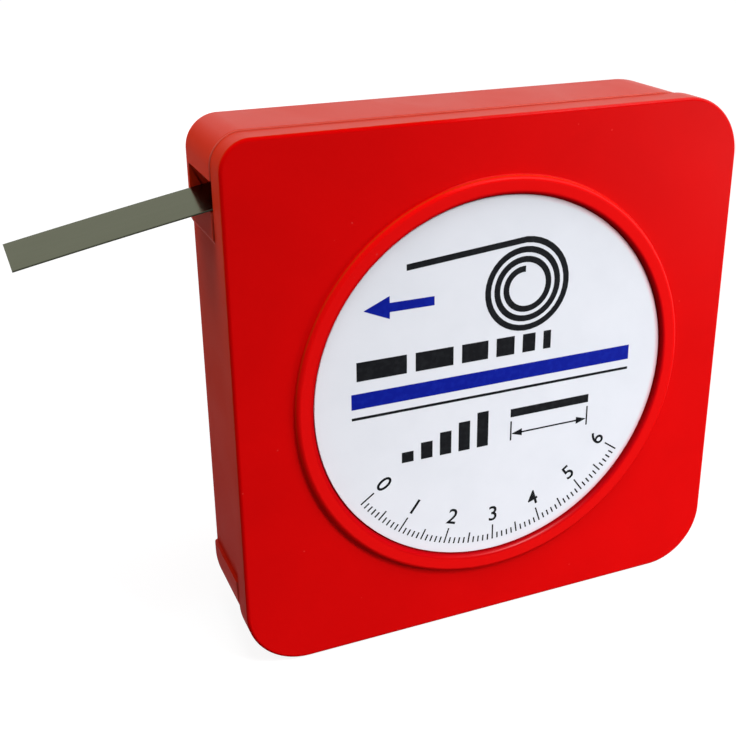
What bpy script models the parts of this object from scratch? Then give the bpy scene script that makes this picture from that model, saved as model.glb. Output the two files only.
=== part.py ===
"""Flat dispenser case that holds a coil of thin steel shim strip.

The case stands on its narrow bottom side. +X runs to the right across the front, +Y runs from the
front to the back and +Z is up. The origin is the middle of the bottom side. The case is two plastic
mouldings, a deep shell and a shallow cover with a raised ring, and the strip leaves it through a
notch high in the left side. Lengths are in millimetres here and are turned into metres on building.
"""
import math

import bmesh
import bpy

MM = 0.001

# Steel strip. The case is made round it, so its sizes drive the case.
STRIP_WIDTH = 12.7
STRIP_THICKNESS = 0.25
STRIP_LENGTH = 5000.0
COIL_OUTER_RADIUS = 42.7
TAIL_BELOW_TOP = 11.8
TAIL_OUT = 29.6
TAIL_BEND_RADIUS = 1620.0
TAIL_ROLL_DEGREES = 1.7

# Clearance between two pieces that meet
GAP = 0.3

# Case
CHAMBER_WALL = 4.0
SIDE_WALL = 2.2
BACK_WALL = 2.2
FRONT_WALL = 2.0
COVER_DEPTH = 4.9
COVER_CORNER_RADIUS = 11.2
SHELL_CORNER_RADIUS = 13.9
EXIT_CORNER_RADIUS = 5.4
COVER_STEP = 0.25
COVER_EDGE_ROUND = 0.6
SHELL_EDGE_ROUND = 1.1
PARTING_BEVEL = 0.2

# Joint of the two halves
TONGUE_THICKNESS = 0.6
TONGUE_INSET = 1.6
TONGUE_LENGTH = 1.2
PEG_RADIUS = 1.5
PEG_LENGTH = 6.0
POST_RADIUS = 3.2
POST_INSET = 10.0
LEFT_PEG_INSET = 6.8
LEFT_PEG_BELOW_TOP = 18.6

# Ring and label on the front
LABEL_RADIUS = 33.5
LABEL_THICKNESS = 0.25
RING_WIDTH = 3.2
RING_HEIGHT = 1.05
RING_DISH = 0.12
RING_INNER_ROUND = 0.6
RING_OUTER_ROUND = 0.8
RING_FOOT = 0.15

# Notch in the left side, and the shallow recess under it
SLOT_ABOVE_STRIP = 4.4
LIP_HEIGHT = 4.35
RECESS_DEPTH = 0.65
RECESS_BOTTOM = 15.5
RECESS_RAMP = 1.2

# Inside of the halves
POCKET_DEGREES = 37.0
NOSE_THICKNESS = 0.8
NOSE_DROP = 3.0
RIB_THICKNESS = 1.5

# Smoothness
CORNER_SEGMENTS = 12
ROUND_SEGMENTS = 4
CIRCLE_SEGMENTS = 96
PEG_SEGMENTS = 24
TAIL_SEGMENTS = 12
SHARP_DEGREES = 32
ANGLE_STEPS = 60
STEEPEST_START = 45
RIGHT_ANGLE = 90

# Derived sizes
CHAMBER_RADIUS = COIL_OUTER_RADIUS + GAP
HALF_WIDTH = CHAMBER_RADIUS + CHAMBER_WALL
CASE_HEIGHT = 2 * HALF_WIDTH
MID_HEIGHT = CASE_HEIGHT / 2
STRIP_FRONT = COVER_DEPTH + GAP
STRIP_BACK = STRIP_FRONT + STRIP_WIDTH
FLOOR_DEPTH = STRIP_BACK + GAP
CASE_DEPTH = FLOOR_DEPTH + BACK_WALL
FRONT_Y = -CASE_DEPTH / 2
TAIL_EXIT_HEIGHT = CASE_HEIGHT - TAIL_BELOW_TOP
SLOT_BOTTOM = TAIL_EXIT_HEIGHT - STRIP_THICKNESS - GAP
SLOT_TOP = TAIL_EXIT_HEIGHT + SLOT_ABOVE_STRIP
RECESS_TOP = SLOT_BOTTOM - LIP_HEIGHT
RIM_RADIUS = HALF_WIDTH - SIDE_WALL
GROOVE_INSET = TONGUE_INSET - GAP
GROOVE_WIDTH = TONGUE_THICKNESS + 2 * GAP
GROOVE_DEPTH = TONGUE_LENGTH + GAP
RING_BORE = LABEL_RADIUS + GAP
LABEL_SEAT = LABEL_THICKNESS + GAP
CUT = 1.0


def clear_scene():
    for old in list(bpy.data.objects):
        bpy.data.objects.remove(old, do_unlink=True)


def material(name, colour, roughness, metallic):
    made = bpy.data.materials.new(name)
    made.use_nodes = True
    shader = made.node_tree.nodes["Principled BSDF"]
    shader.inputs["Base Color"].default_value = (*colour, 1.0)
    shader.inputs["Roughness"].default_value = roughness
    shader.inputs["Metallic"].default_value = metallic
    return made


def make_object(name, mesh_data):
    """Turn a bmesh in millimetres into an object in metres, faces pointing out."""
    bmesh.ops.recalc_face_normals(mesh_data, faces=mesh_data.faces)
    for vertex in mesh_data.verts:
        vertex.co *= MM
    mesh = bpy.data.meshes.new(name)
    mesh_data.to_mesh(mesh)
    mesh_data.free()
    made = bpy.data.objects.new(name, mesh)
    bpy.context.scene.collection.objects.link(made)
    return made


def depth_to_y(depth):
    return FRONT_Y + depth


def case_outline(corner_radius, inset):
    """Outline of the case moved inward by inset, as (x, z) points.

    The corner over the notch, at the top left, is tighter than the other three.
    """
    corners = [
        (1, 1, corner_radius),
        (-1, 1, EXIT_CORNER_RADIUS),
        (-1, -1, corner_radius),
        (1, -1, corner_radius),
    ]
    points = []
    for quarter, (side_x, side_z, radius) in enumerate(corners):
        centre_x = side_x * (HALF_WIDTH - radius)
        centre_z = MID_HEIGHT + side_z * (MID_HEIGHT - radius)
        for step in range(CORNER_SEGMENTS + 1):
            angle = math.radians(RIGHT_ANGLE * (quarter + step / CORNER_SEGMENTS))
            x = centre_x + (radius - inset) * math.cos(angle)
            z = centre_z + (radius - inset) * math.sin(angle)
            points.append((x, z))
    return points


def loft(name, loops):
    """Closed solid through a row of (depth, outline) loops that have equal point counts."""
    built = bmesh.new()
    rows = []
    for depth, outline in loops:
        y = depth_to_y(depth)
        rows.append([built.verts.new((x, y, z)) for x, z in outline])
    for row, following in zip(rows, rows[1:]):
        for i in range(len(row)):
            j = (i + 1) % len(row)
            built.faces.new((row[i], row[j], following[j], following[i]))
    built.faces.new(rows[0])
    built.faces.new(rows[-1])
    return make_object(name, built)


def prism(name, outline, low_depth, high_depth):
    return loft(name, [(low_depth, outline), (high_depth, outline)])


def circle_outline(centre_x, centre_z, radius, segments):
    turns = [2 * math.pi * i / segments for i in range(segments)]
    return [(centre_x + radius * math.cos(a), centre_z + radius * math.sin(a)) for a in turns]


def cylinder(name, centre_x, centre_z, radius, low_depth, high_depth, segments=PEG_SEGMENTS):
    outline = circle_outline(centre_x, centre_z, radius, segments)
    return prism(name, outline, low_depth, high_depth)


def tube(name, inner_radius, outer_radius, low_depth, high_depth):
    return turned(name, [
        (inner_radius, low_depth),
        (outer_radius, low_depth),
        (outer_radius, high_depth),
        (inner_radius, high_depth),
    ])


def turned(name, profile):
    """Solid ring turned about the middle of the case from a closed (radius, depth) profile."""
    built = bmesh.new()
    rows = []
    for i in range(CIRCLE_SEGMENTS):
        angle = 2 * math.pi * i / CIRCLE_SEGMENTS
        row = []
        for radius, depth in profile:
            x = radius * math.cos(angle)
            z = MID_HEIGHT + radius * math.sin(angle)
            row.append(built.verts.new((x, depth_to_y(depth), z)))
        rows.append(row)
    for i in range(CIRCLE_SEGMENTS):
        row = rows[i]
        following = rows[(i + 1) % CIRCLE_SEGMENTS]
        for j in range(len(profile)):
            k = (j + 1) % len(profile)
            built.faces.new((row[j], row[k], following[k], following[j]))
    return make_object(name, built)


def combine(target, tools, operation):
    """Apply a Boolean with each tool in turn, then take the tools away."""
    for tool in tools:
        step = target.modifiers.new(tool.name, "BOOLEAN")
        step.operation = operation
        step.solver = "EXACT"
        step.object = tool
    bpy.context.view_layer.update()
    graph = bpy.context.evaluated_depsgraph_get()
    result = bpy.data.meshes.new_from_object(target.evaluated_get(graph))
    target.modifiers.clear()
    target.data = result
    for tool in tools:
        bpy.data.objects.remove(tool, do_unlink=True)


def finish(target, made_material):
    target.data.materials.clear()
    target.data.materials.append(made_material)
    target.data.shade_smooth()
    target.data.set_sharp_from_angle(angle=math.radians(SHARP_DEGREES))


def outer_edge_steps(outer_depth, inward, radius):
    """Depths and insets of a round edge that starts at outer_depth and runs inward, +1 or -1."""
    steps = []
    for i in range(ROUND_SEGMENTS + 1):
        angle = math.radians(RIGHT_ANGLE * i / ROUND_SEGMENTS)
        inset = radius * (1 - math.sin(angle))
        depth = outer_depth + inward * radius * (1 - math.cos(angle))
        steps.append((depth, inset))
    return steps


def tail_point(start_angle, length):
    """Point and heading of the strip's tail, a very flat arc that leaves the coil tangentially.

    The heading is the angle below the horizontal, towards -X.
    """
    heading = start_angle + length / TAIL_BEND_RADIUS
    x = -COIL_OUTER_RADIUS * math.sin(start_angle)
    z = MID_HEIGHT + COIL_OUTER_RADIUS * math.cos(start_angle)
    x -= TAIL_BEND_RADIUS * (math.sin(heading) - math.sin(start_angle))
    z -= TAIL_BEND_RADIUS * (math.cos(start_angle) - math.cos(heading))
    return x, z, heading


def tail_length_to(start_angle, target_x):
    """Length of the tail from the coil to the upright plane x = target_x."""
    reach = -target_x - COIL_OUTER_RADIUS * math.sin(start_angle)
    heading = math.asin(reach / TAIL_BEND_RADIUS + math.sin(start_angle))
    return (heading - start_angle) * TAIL_BEND_RADIUS


def find_start_angle():
    """Angle on the coil, from its top, where a tail leaves that passes the notch at its height."""
    low = 0.0
    high = math.radians(STEEPEST_START)
    for _ in range(ANGLE_STEPS):
        middle = (low + high) / 2
        _, z, _ = tail_point(middle, tail_length_to(middle, -HALF_WIDTH))
        if z > TAIL_EXIT_HEIGHT:
            low = middle
        else:
            high = middle
    return (low + high) / 2


START_ANGLE = find_start_angle()
INSIDE_LENGTH = tail_length_to(START_ANGLE, -HALF_WIDTH)
EXIT_HEADING = START_ANGLE + INSIDE_LENGTH / TAIL_BEND_RADIUS
TAIL_LENGTH = INSIDE_LENGTH + TAIL_OUT / math.cos(EXIT_HEADING)
COILED_AREA = (STRIP_LENGTH - TAIL_LENGTH) * STRIP_THICKNESS
COIL_INNER_RADIUS = math.sqrt(COIL_OUTER_RADIUS ** 2 - COILED_AREA / math.pi)
RIB_RADIUS = (COIL_OUTER_RADIUS + COIL_INNER_RADIUS) / 2

# The guide under the tail is a straight ramp from the notch to the chamber, one gap below it.
GUIDE_SLOPE = math.tan(START_ANGLE)
GUIDE_DISTANCE = (SLOT_BOTTOM + GUIDE_SLOPE * HALF_WIDTH - MID_HEIGHT) * math.cos(START_ANGLE)
NOSE_ANGLE = START_ANGLE + math.acos((GUIDE_DISTANCE - NOSE_THICKNESS) / CHAMBER_RADIUS)
CORNER_OPENING_END = COIL_OUTER_RADIUS * math.sin(START_ANGLE)


def guide_height(x):
    return SLOT_BOTTOM + GUIDE_SLOPE * (x + HALF_WIDTH)


def post_places():
    """Centres of the three corner posts, each with a socket for a peg."""
    right = HALF_WIDTH - POST_INSET
    top = CASE_HEIGHT - POST_INSET
    return [(right, top), (right, POST_INSET), (-right, POST_INSET)]


def peg_places():
    """Centres of the four pegs: one at each post and one under the notch."""
    under_notch = (-HALF_WIDTH + LEFT_PEG_INSET, CASE_HEIGHT - LEFT_PEG_BELOW_TOP)
    return [*post_places(), under_notch]


def pocket_outline(side_x, side_z):
    """Corner pocket between the round chamber's wall and the case's corner."""
    radius = SHELL_CORNER_RADIUS - SIDE_WALL
    centre = RIM_RADIUS - radius
    first = math.radians(RIGHT_ANGLE - POCKET_DEGREES)
    last = math.radians(POCKET_DEGREES)
    start = RIM_RADIUS * math.sin(last)
    points = [(start, RIM_RADIUS)]
    for step in range(CORNER_SEGMENTS + 1):
        angle = math.radians(RIGHT_ANGLE * (1 - step / CORNER_SEGMENTS))
        points.append((centre + radius * math.cos(angle), centre + radius * math.sin(angle)))
    points.append((RIM_RADIUS, start))
    for step in range(CORNER_SEGMENTS + 1):
        angle = last + (first - last) * step / CORNER_SEGMENTS
        points.append((RIM_RADIUS * math.cos(angle), RIM_RADIUS * math.sin(angle)))
    return [(side_x * x, MID_HEIGHT + side_z * z) for x, z in points]


def strip_corner_cutter():
    """Open corner above the guide, through which the tail runs to the notch."""
    corner = prism("strip_corner_cutter", case_outline(SHELL_CORNER_RADIUS, SIDE_WALL),
                   COVER_DEPTH - CUT, FLOOR_DEPTH)
    outside = -HALF_WIDTH - CUT
    nose_x = -CHAMBER_RADIUS * math.sin(NOSE_ANGLE)
    nose_z = guide_height(nose_x)
    above_guide = [
        (outside, CASE_HEIGHT + CUT),
        (outside, guide_height(outside)),
        (nose_x, nose_z),
        (nose_x, nose_z - NOSE_DROP),
        (-CORNER_OPENING_END, nose_z - NOSE_DROP),
        (-CORNER_OPENING_END, CASE_HEIGHT + CUT),
    ]
    keep = prism("above_guide", above_guide, COVER_DEPTH - 2 * CUT, FLOOR_DEPTH + CUT)
    combine(corner, [keep], "INTERSECT")
    return corner


def shell_blank():
    """Deep half before it is cut: fine bevel at the parting line, round edge at the back."""
    start = COVER_DEPTH + GAP
    steps = [(start, PARTING_BEVEL), (start + PARTING_BEVEL, 0.0)]
    back = outer_edge_steps(CASE_DEPTH, -1, SHELL_EDGE_ROUND)
    steps += reversed(back)
    loops = [(depth, case_outline(SHELL_CORNER_RADIUS, inset)) for depth, inset in steps]
    return loft("back_shell", loops)


def recess_cutter():
    """Shallow step in the left side under the notch, with a ramp at its top."""
    face = -HALF_WIDTH + RECESS_DEPTH
    outside = -HALF_WIDTH - CUT
    run = RECESS_RAMP * (RECESS_DEPTH + CUT) / RECESS_DEPTH
    outline = [
        (outside, RECESS_BOTTOM),
        (face, RECESS_BOTTOM),
        (face, RECESS_TOP - RECESS_RAMP),
        (outside, RECESS_TOP - RECESS_RAMP + run),
    ]
    return prism("recess_cutter", outline, COVER_DEPTH - CUT, CASE_DEPTH + CUT)


def slot_cutter(margin, front_depth, back_depth):
    """Notch through the left side, with its lower face in line with the guide."""
    outside = -HALF_WIDTH - CUT
    inside = -HALF_WIDTH + EXIT_CORNER_RADIUS
    top = SLOT_TOP + margin
    outline = [
        (outside, guide_height(outside) - margin),
        (inside, guide_height(inside) - margin),
        (inside, top),
        (outside, top),
    ]
    return prism("slot_cutter", outline, front_depth, back_depth)


def groove_cutter():
    """Groove all round the shell's rim that takes the cover's tongue."""
    start = COVER_DEPTH + GAP - CUT
    end = COVER_DEPTH + GROOVE_DEPTH
    outer = prism("groove_cutter", case_outline(SHELL_CORNER_RADIUS, GROOVE_INSET), start, end)
    core_inset = GROOVE_INSET + GROOVE_WIDTH
    core_outline = case_outline(SHELL_CORNER_RADIUS, core_inset)
    core = prism("groove_core", core_outline, start - CUT, end + CUT)
    combine(outer, [core], "DIFFERENCE")
    return outer


def build_back_shell():
    shell = shell_blank()
    open_front = COVER_DEPTH - CUT
    chamber = circle_outline(0.0, MID_HEIGHT, CHAMBER_RADIUS, CIRCLE_SEGMENTS)
    cutters = [
        prism("chamber_cutter", chamber, open_front, FLOOR_DEPTH),
        strip_corner_cutter(),
        recess_cutter(),
        slot_cutter(0.0, open_front, FLOOR_DEPTH),
    ]
    for side_x, side_z in ((1, 1), (1, -1), (-1, -1)):
        outline = pocket_outline(side_x, side_z)
        cutters.append(prism("pocket_cutter", outline, open_front, FLOOR_DEPTH))
    combine(shell, cutters, "DIFFERENCE")
    combine(shell, [groove_cutter()], "DIFFERENCE")

    post_top = COVER_DEPTH + GAP + GROOVE_DEPTH
    post_foot = FLOOR_DEPTH + BACK_WALL / 2
    posts = [cylinder("post", x, z, POST_RADIUS, post_top, post_foot) for x, z in post_places()]
    socket_end = COVER_DEPTH + PEG_LENGTH + GAP
    sockets = []
    for x, z in peg_places():
        sockets.append(cylinder("socket", x, z, PEG_RADIUS + GAP, open_front, socket_end))
    combine(shell, posts, "UNION")
    combine(shell, sockets, "DIFFERENCE")
    return shell


def ring_profile():
    """Raised ring in (radius, depth): inner wall, crest that falls a little inward, outer foot."""
    foot_radius = RING_BORE + RING_WIDTH
    wall_radius = foot_radius - RING_FOOT
    root = LABEL_SEAT + FRONT_WALL / 2
    inner_crest = RING_DISH - RING_HEIGHT
    points = [(RING_BORE, root)]
    for step in range(ROUND_SEGMENTS + 1):
        angle = math.radians(RIGHT_ANGLE * step / ROUND_SEGMENTS)
        radius = RING_BORE + RING_INNER_ROUND * (1 - math.cos(angle))
        depth = inner_crest + RING_INNER_ROUND * (1 - math.sin(angle))
        points.append((radius, depth))
    for step in range(ROUND_SEGMENTS + 1):
        angle = math.radians(RIGHT_ANGLE * step / ROUND_SEGMENTS)
        radius = wall_radius - RING_OUTER_ROUND * (1 - math.sin(angle))
        depth = -RING_HEIGHT + RING_OUTER_ROUND * (1 - math.cos(angle))
        points.append((radius, depth))
    points += [(wall_radius, -RING_FOOT), (foot_radius, 0.0), (foot_radius, root)]
    return points


def cover_blank():
    """Shallow half before it is cut: round front edge, fine bevel at the parting line.

    It stands a small step inside the shell all round.
    """
    steps = outer_edge_steps(0.0, 1, COVER_EDGE_ROUND)
    steps += [(COVER_DEPTH - PARTING_BEVEL, 0.0), (COVER_DEPTH, PARTING_BEVEL)]
    loops = [(depth, case_outline(COVER_CORNER_RADIUS, COVER_STEP + inset)) for depth, inset in steps]
    return loft("front_cover", loops)


def cover_tongue():
    """Thin wall that stands on the cover's inner edge and enters the shell's groove."""
    start = FRONT_WALL / 2
    end = COVER_DEPTH + TONGUE_LENGTH
    outer = prism("tongue", case_outline(SHELL_CORNER_RADIUS, TONGUE_INSET), start, end)
    core_inset = TONGUE_INSET + TONGUE_THICKNESS
    core_outline = case_outline(SHELL_CORNER_RADIUS, core_inset)
    core = prism("tongue_core", core_outline, start - CUT, end + CUT)
    notch = slot_cutter(CUT, COVER_DEPTH, end + CUT)
    combine(outer, [core, notch], "DIFFERENCE")
    return outer


def build_front_cover():
    cover = cover_blank()
    tray = case_outline(SHELL_CORNER_RADIUS, SIDE_WALL)
    hollow = prism("tray_cutter", tray, FRONT_WALL, COVER_DEPTH + CUT)
    combine(cover, [hollow], "DIFFERENCE")
    combine(cover, [turned("ring", ring_profile())], "UNION")
    seat_outline = circle_outline(0.0, MID_HEIGHT, RING_BORE, CIRCLE_SEGMENTS)
    seat = prism("seat_cutter", seat_outline, -RING_HEIGHT - CUT, LABEL_SEAT)
    combine(cover, [seat], "DIFFERENCE")

    root = FRONT_WALL / 2 + LABEL_SEAT
    rib_inner = RIB_RADIUS - RIB_THICKNESS / 2
    rib_outer = RIB_RADIUS + RIB_THICKNESS / 2
    inside = [cover_tongue(), tube("coil_rib", rib_inner, rib_outer, root, COVER_DEPTH)]
    for x, z in peg_places():
        inside.append(cylinder("peg", x, z, PEG_RADIUS, root, COVER_DEPTH + PEG_LENGTH))
    combine(cover, inside, "UNION")
    return cover


def build_label():
    outline = circle_outline(0.0, MID_HEIGHT, LABEL_RADIUS, CIRCLE_SEGMENTS)
    return prism("label", outline, 0.0, LABEL_THICKNESS)


def tail_sections():
    """Rows of upper and lower (x, z) points along the tail, with the rise of the far edge."""
    rows = []
    for step in range(1, TAIL_SEGMENTS + 1):
        length = TAIL_LENGTH * step / TAIL_SEGMENTS
        x, z, heading = tail_point(START_ANGLE, length)
        share = min(1.0, length / INSIDE_LENGTH)
        rise = STRIP_WIDTH * math.sin(math.radians(TAIL_ROLL_DEGREES) * share)
        lower = (x + STRIP_THICKNESS * math.sin(heading), z - STRIP_THICKNESS * math.cos(heading))
        rows.append(((x, z), lower, rise))
    return rows


def build_steel_strip():
    """Coil as one turned ring, and the tail that leaves its outer turn and passes the notch."""
    built = bmesh.new()
    root_turn = math.acos(1 - STRIP_THICKNESS / COIL_OUTER_RADIUS)
    angles = [START_ANGLE]
    for i in range(CIRCLE_SEGMENTS):
        angles.append(START_ANGLE + root_turn + (2 * math.pi - root_turn) * i / CIRCLE_SEGMENTS)

    def ring_corners(angle):
        corners = []
        for radius in (COIL_OUTER_RADIUS, COIL_INNER_RADIUS):
            x = -radius * math.sin(angle)
            z = MID_HEIGHT + radius * math.cos(angle)
            for depth in (STRIP_FRONT, STRIP_BACK):
                corners.append(built.verts.new((x, depth_to_y(depth), z)))
        return corners

    rings = [ring_corners(angle) for angle in angles]
    for i, ring in enumerate(rings):
        following = rings[(i + 1) % len(rings)]
        outer_front, outer_back, inner_front, inner_back = ring
        next_outer_front, next_outer_back, next_inner_front, next_inner_back = following
        built.faces.new((outer_front, next_outer_front, next_inner_front, inner_front))
        built.faces.new((outer_back, next_outer_back, next_inner_back, inner_back))
        built.faces.new((inner_front, next_inner_front, next_inner_back, inner_back))
        if i > 0:
            built.faces.new((outer_front, next_outer_front, next_outer_back, outer_back))

    upper_front, upper_back = rings[0][0], rings[0][1]
    lower_front, lower_back = rings[1][0], rings[1][1]
    section = (upper_front, upper_back, lower_back, lower_front)
    for upper, lower, rise in tail_sections():
        corners = (
            (upper[0], STRIP_FRONT, upper[1]),
            (upper[0], STRIP_BACK, upper[1] + rise),
            (lower[0], STRIP_BACK, lower[1] + rise),
            (lower[0], STRIP_FRONT, lower[1]),
        )
        following = tuple(built.verts.new((x, depth_to_y(depth), z)) for x, depth, z in corners)
        for i in range(4):
            j = (i + 1) % 4
            built.faces.new((section[i], section[j], following[j], following[i]))
        section = following
    built.faces.new(section)
    return make_object("steel_strip", built)


def main():
    clear_scene()
    red = material("red_plastic", (0.56, 0.004, 0.006), 0.38, 0.0)
    paper = material("label_paper", (0.76, 0.79, 0.86), 0.5, 0.0)
    steel = material("strip_steel", (0.14, 0.155, 0.12), 0.32, 1.0)
    finish(build_back_shell(), red)
    finish(build_front_cover(), red)
    finish(build_label(), paper)
    finish(build_steel_strip(), steel)


main()
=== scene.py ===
"""Looks of a steel shim strip roll in its dispenser case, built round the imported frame.

The frame is in metres: +X to the right across the front, +Y from the front to the back, +Z up, with
the origin in the middle of the side that the case stands on. Sizes here are in millimetres and are
turned into metres when a mesh is made. A depth is counted from the case's flat front face.
"""

import math

import bmesh
import bpy
from mathutils import Euler, Matrix, Vector


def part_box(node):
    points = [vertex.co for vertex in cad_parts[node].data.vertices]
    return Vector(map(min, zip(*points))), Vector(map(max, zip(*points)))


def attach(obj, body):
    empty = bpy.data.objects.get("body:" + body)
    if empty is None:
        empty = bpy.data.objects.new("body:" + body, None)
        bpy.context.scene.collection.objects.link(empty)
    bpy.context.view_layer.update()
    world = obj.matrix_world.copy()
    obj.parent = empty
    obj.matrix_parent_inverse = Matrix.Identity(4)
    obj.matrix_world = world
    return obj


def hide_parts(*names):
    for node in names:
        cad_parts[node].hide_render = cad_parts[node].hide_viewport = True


MM = 0.001

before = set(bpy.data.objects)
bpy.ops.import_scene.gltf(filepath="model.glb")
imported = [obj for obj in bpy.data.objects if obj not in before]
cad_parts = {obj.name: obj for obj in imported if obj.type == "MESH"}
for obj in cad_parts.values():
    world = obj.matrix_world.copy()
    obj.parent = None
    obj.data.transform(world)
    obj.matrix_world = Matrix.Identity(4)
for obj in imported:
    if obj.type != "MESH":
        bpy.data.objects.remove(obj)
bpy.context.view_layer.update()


def box_mm(node):
    low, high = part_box(node)
    return low / MM, high / MM


# Sizes read from the frame
cover_low, _ = box_mm("front_cover")
_, shell_high = box_mm("back_shell")
label_low, label_high = box_mm("label")
strip_low, strip_high = box_mm("steel_strip")

HALF_WIDTH = shell_high.x
CASE_HEIGHT = shell_high.z
MID_HEIGHT = CASE_HEIGHT / 2
FRONT_Y = label_low.y
CASE_DEPTH = shell_high.y - FRONT_Y
LABEL_RADIUS = label_high.x
LABEL_THICKNESS = label_high.y - label_low.y
RING_HEIGHT = FRONT_Y - cover_low.y
STRIP_FRONT = strip_low.y - FRONT_Y
STRIP_BACK = strip_high.y - FRONT_Y
STRIP_WIDTH = STRIP_BACK - STRIP_FRONT
TAIL_END_X = strip_low.x

# Sizes that the frame's boxes don't give, as the solids have them
GAP = 0.3
COVER_DEPTH = STRIP_FRONT - GAP
FLOOR_DEPTH = STRIP_BACK + GAP
BACK_WALL = CASE_DEPTH - FLOOR_DEPTH
COIL_OUTER_RADIUS = 42.7
CHAMBER_RADIUS = COIL_OUTER_RADIUS + GAP
STRIP_THICKNESS = 0.25
STRIP_LENGTH = 5000.0
TAIL_BELOW_TOP = 11.8
TAIL_BEND_RADIUS = 1620.0
TAIL_ROLL_DEGREES = 1.7
SIDE_WALL = 2.2
FRONT_WALL = 2.0
COVER_CORNER_RADIUS = 11.2
SHELL_CORNER_RADIUS = 13.9
EXIT_CORNER_RADIUS = 5.4
COVER_STEP = 0.25
COVER_EDGE_ROUND = 0.6
SHELL_EDGE_ROUND = 1.1
SEAM_GAP = 0.06
SEAM_BEVEL = 0.06
SEAT_GAP = 0.03
TONGUE_THICKNESS = 0.6
TONGUE_INSET = 1.6
TONGUE_LENGTH = 1.2
PEG_RADIUS = 1.5
PEG_LENGTH = 6.0
POST_RADIUS = 3.2
POST_INSET = 10.0
LEFT_PEG_INSET = 6.8
LEFT_PEG_BELOW_TOP = 18.6
RING_WIDTH = 3.2
RING_DISH = 0.12
RING_INNER_ROUND = 0.6
RING_OUTER_ROUND = 0.8
RING_FOOT = 0.15
SLOT_ABOVE_STRIP = 4.4
LIP_HEIGHT = 4.35
RECESS_DEPTH = 0.65
RECESS_BOTTOM = 15.5
RECESS_RAMP = 1.2
POCKET_DEGREES = 37.0
NOSE_THICKNESS = 0.8
NOSE_DROP = 3.0
RIB_THICKNESS = 1.5

TAIL_EXIT_HEIGHT = CASE_HEIGHT - TAIL_BELOW_TOP
SLOT_BOTTOM = TAIL_EXIT_HEIGHT - STRIP_THICKNESS - GAP
SLOT_TOP = TAIL_EXIT_HEIGHT + SLOT_ABOVE_STRIP
RECESS_TOP = SLOT_BOTTOM - LIP_HEIGHT
RIM_RADIUS = HALF_WIDTH - SIDE_WALL
GROOVE_INSET = TONGUE_INSET - GAP
GROOVE_WIDTH = TONGUE_THICKNESS + 2 * GAP
GROOVE_DEPTH = TONGUE_LENGTH + GAP
RING_BORE = LABEL_RADIUS + GAP
LABEL_SEAT = LABEL_THICKNESS + SEAT_GAP
CUT = 1.0

# Smoothness, finer than the solids have
CORNER_SEGMENTS = 28
ROUND_SEGMENTS = 8
CIRCLE_SEGMENTS = 256
PEG_SEGMENTS = 40
TAIL_SEGMENTS = 48
TURN_SEGMENTS = 120
SHARP_DEGREES = 28
ANGLE_STEPS = 60
STEEPEST_START = 45
RIGHT_ANGLE = 90

# Camera, found from the case's edges in the photograph
CAMERA_PLACE = (-0.08734, -0.17313, 0.13105)
CAMERA_AZIMUTH = -23.854
CAMERA_ELEVATION = 22.049
CAMERA_ROLL = 0.023
CAMERA_LENS = 56.86
CAMERA_SHIFT = (-0.0656, -0.0485)


def make_object(name, built):
    """Turn a bmesh in millimetres into an object in metres, faces pointing out."""
    bmesh.ops.recalc_face_normals(built, faces=built.faces)
    for vertex in built.verts:
        vertex.co *= MM
    mesh = bpy.data.meshes.new(name)
    built.to_mesh(mesh)
    built.free()
    made = bpy.data.objects.new(name, mesh)
    bpy.context.scene.collection.objects.link(made)
    return made


def arc(centre_x, centre_z, radius, first, last, segments):
    """Points of an arc between two angles in degrees, both ends among them."""
    points = []
    for step in range(segments + 1):
        angle = math.radians(first + (last - first) * step / segments)
        points.append((centre_x + radius * math.cos(angle), centre_z + radius * math.sin(angle)))
    return points


def case_outline(corner_radius, inset):
    """Outline of the case moved inward by inset, with a tighter corner over the notch."""
    corners = [
        (1, 1, corner_radius),
        (-1, 1, EXIT_CORNER_RADIUS),
        (-1, -1, corner_radius),
        (1, -1, corner_radius),
    ]
    points = []
    for quarter, (side_x, side_z, radius) in enumerate(corners):
        x = side_x * (HALF_WIDTH - radius)
        z = MID_HEIGHT + side_z * (MID_HEIGHT - radius)
        first = RIGHT_ANGLE * quarter
        points += arc(x, z, radius - inset, first, first + RIGHT_ANGLE, CORNER_SEGMENTS)
    return points


def circle_outline(x, z, radius, segments):
    return arc(x, z, radius, 0, 360, segments)[:-1]


def loft(name, loops):
    """Closed solid through a row of (depth, outline) loops that have equal point counts."""
    built = bmesh.new()
    rows = [[built.verts.new((x, FRONT_Y + depth, z)) for x, z in outline] for depth, outline in loops]
    for row, following in zip(rows, rows[1:]):
        for i in range(len(row)):
            j = (i + 1) % len(row)
            built.faces.new((row[i], row[j], following[j], following[i]))
    built.faces.new(rows[0])
    built.faces.new(rows[-1])
    return make_object(name, built)


def prism(name, outline, low_depth, high_depth):
    return loft(name, [(low_depth, outline), (high_depth, outline)])


def cylinder(name, x, z, radius, low_depth, high_depth):
    return prism(name, circle_outline(x, z, radius, PEG_SEGMENTS), low_depth, high_depth)


def turned(name, profile):
    """Solid ring turned about the middle of the case from a closed (radius, depth) profile."""
    built = bmesh.new()
    rows = []
    for i in range(CIRCLE_SEGMENTS):
        angle = 2 * math.pi * i / CIRCLE_SEGMENTS
        row = []
        for radius, depth in profile:
            place = (radius * math.cos(angle), FRONT_Y + depth, MID_HEIGHT + radius * math.sin(angle))
            row.append(built.verts.new(place))
        rows.append(row)
    for i, row in enumerate(rows):
        following = rows[(i + 1) % CIRCLE_SEGMENTS]
        for j in range(len(profile)):
            k = (j + 1) % len(profile)
            built.faces.new((row[j], row[k], following[k], following[j]))
    return make_object(name, built)


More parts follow.
